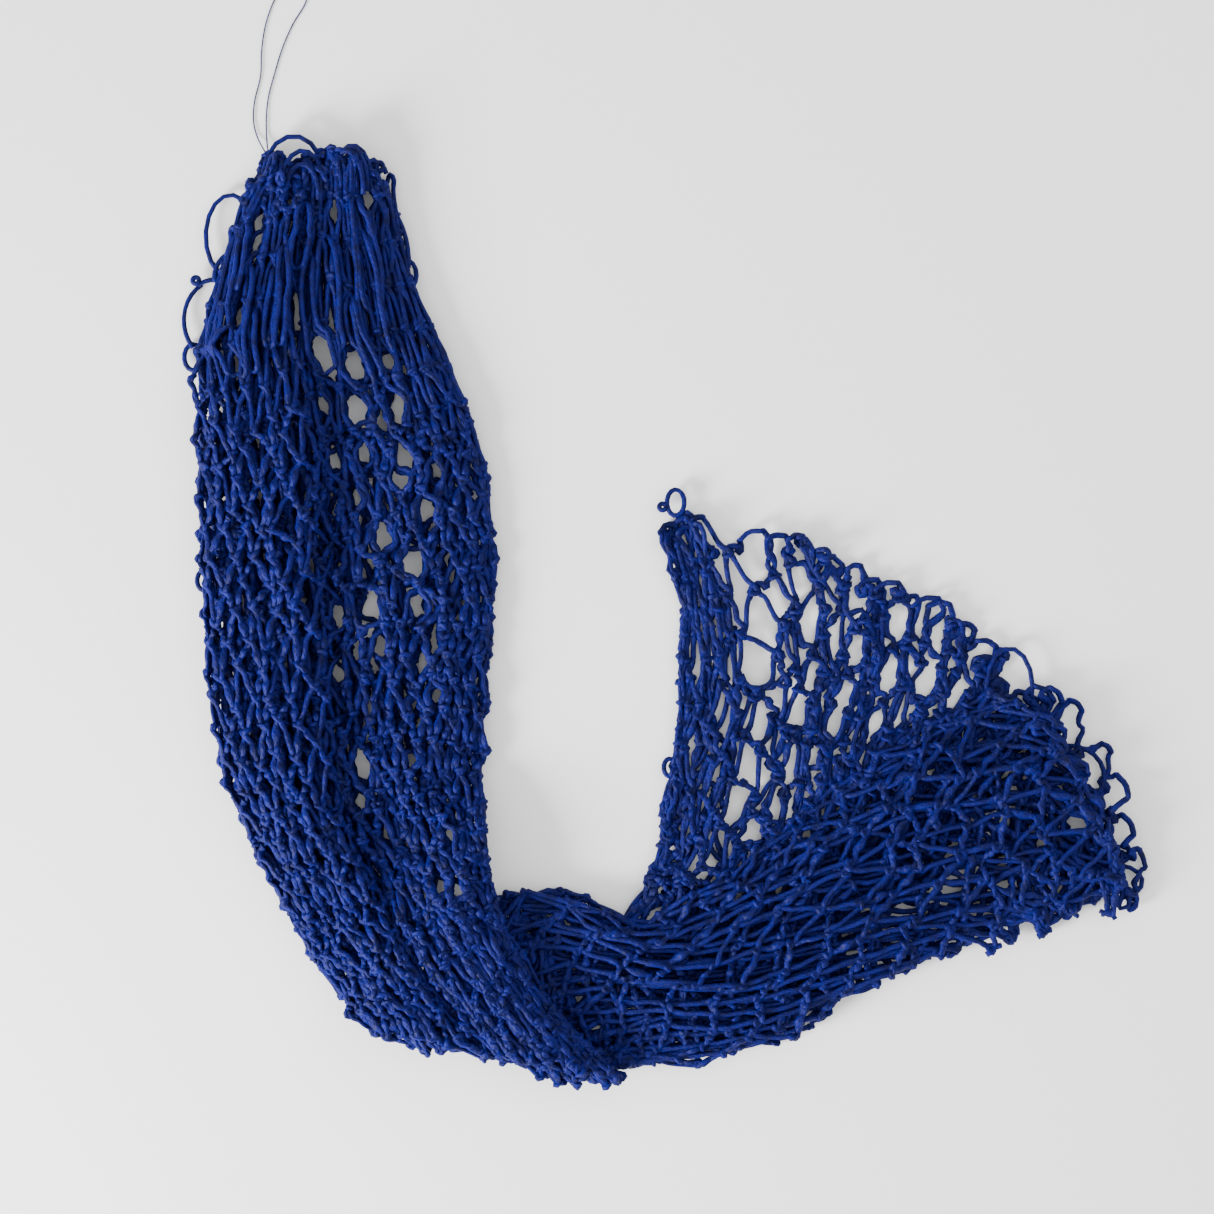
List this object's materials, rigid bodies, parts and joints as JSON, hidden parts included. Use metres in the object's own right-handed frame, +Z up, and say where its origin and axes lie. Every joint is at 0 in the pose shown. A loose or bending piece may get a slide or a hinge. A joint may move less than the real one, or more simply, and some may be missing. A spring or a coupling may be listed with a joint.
{
  "type": "tennis net",
  "caption": "Bunched knotted tennis netting of deep blue twine, lying flat in a J: gathered head, folded bundle, open fan, thin hanging thread.",
  "frame": {"origin": "centre of the laid net's box, on the surface that it lies on", "axes": "+Z up from the surface; +Y from the folded end towards the gathered head; +X from the head's bundle towards the fan"},
  "size_m": [0.8684, 1.0204, 0.0607],
  "materials": {
    "twine": "deep blue braided polyethylene twine with a silky gloss",
    "thread": "dark blue twisted thread"
  },
  "bodies": {
    "lying_run": {"twine_row_15": "twine", "twine_row_16": "twine", "twine_row_17": "twine", "twine_row_18": "twine", "twine_row_19": "twine", "twine_row_20": "twine", "twine_row_21": "twine", "twine_row_22": "twine", "twine_row_23": "twine", "twine_row_24": "twine", "twine_row_25": "twine", "twine_row_26": "twine", "twine_row_27": "twine", "twine_row_28": "twine", "twine_row_29": "twine", "twine_row_30": "twine", "twine_row_31": "twine", "twine_row_32": "twine", "twine_row_33": "twine", "twine_row_34": "twine", "twine_row_35": "twine", "twine_row_36": "twine", "twine_row_37": "twine", "twine_row_38": "twine", "twine_row_39": "twine", "twine_row_40": "twine", "twine_row_41": "twine", "twine_row_42": "twine", "twine_row_43": "twine"},
    "upper_run": {"twine_row_07": "twine", "twine_row_08": "twine", "twine_row_09": "twine", "twine_row_10": "twine", "twine_row_11": "twine", "twine_row_12": "twine", "twine_row_13": "twine", "twine_row_14": "twine"},
    "head": {"twine_row_01": "twine", "twine_row_02": "twine", "twine_row_03": "twine", "twine_row_04": "twine", "twine_row_05": "twine", "twine_row_06": "twine", "hanging_thread": "thread"},
    "fan": {"twine_row_44": "twine", "twine_row_45": "twine", "twine_row_46": "twine", "twine_row_47": "twine", "twine_row_48": "twine", "twine_row_49": "twine", "twine_row_50": "twine", "twine_row_51": "twine", "twine_row_52": "twine", "twine_row_53": "twine", "twine_row_54": "twine", "twine_row_55": "twine", "twine_row_56": "twine", "twine_row_57": "twine"}
  },
  "joints": [
    {"name": "run_fold", "type": "hinge", "parent": "lying_run", "child": "upper_run", "pos_m": [-0.2896, 0.0062, 0.054], "axis": [0.9999, -0.013, 0], "range_deg": [0, 60]},
    {"name": "head_fold", "type": "hinge", "parent": "upper_run", "child": "head", "pos_m": [-0.3073, 0.2128, 0.054], "axis": [0.9987, -0.0501, 0], "range_deg": [0, 80]},
    {"name": "fan_fold", "type": "hinge", "parent": "lying_run", "child": "fan", "pos_m": [0.12495, -0.28124, 0.042], "axis": [0.9662, -0.2579, 0], "range_deg": [0, 75]}
  ]
}
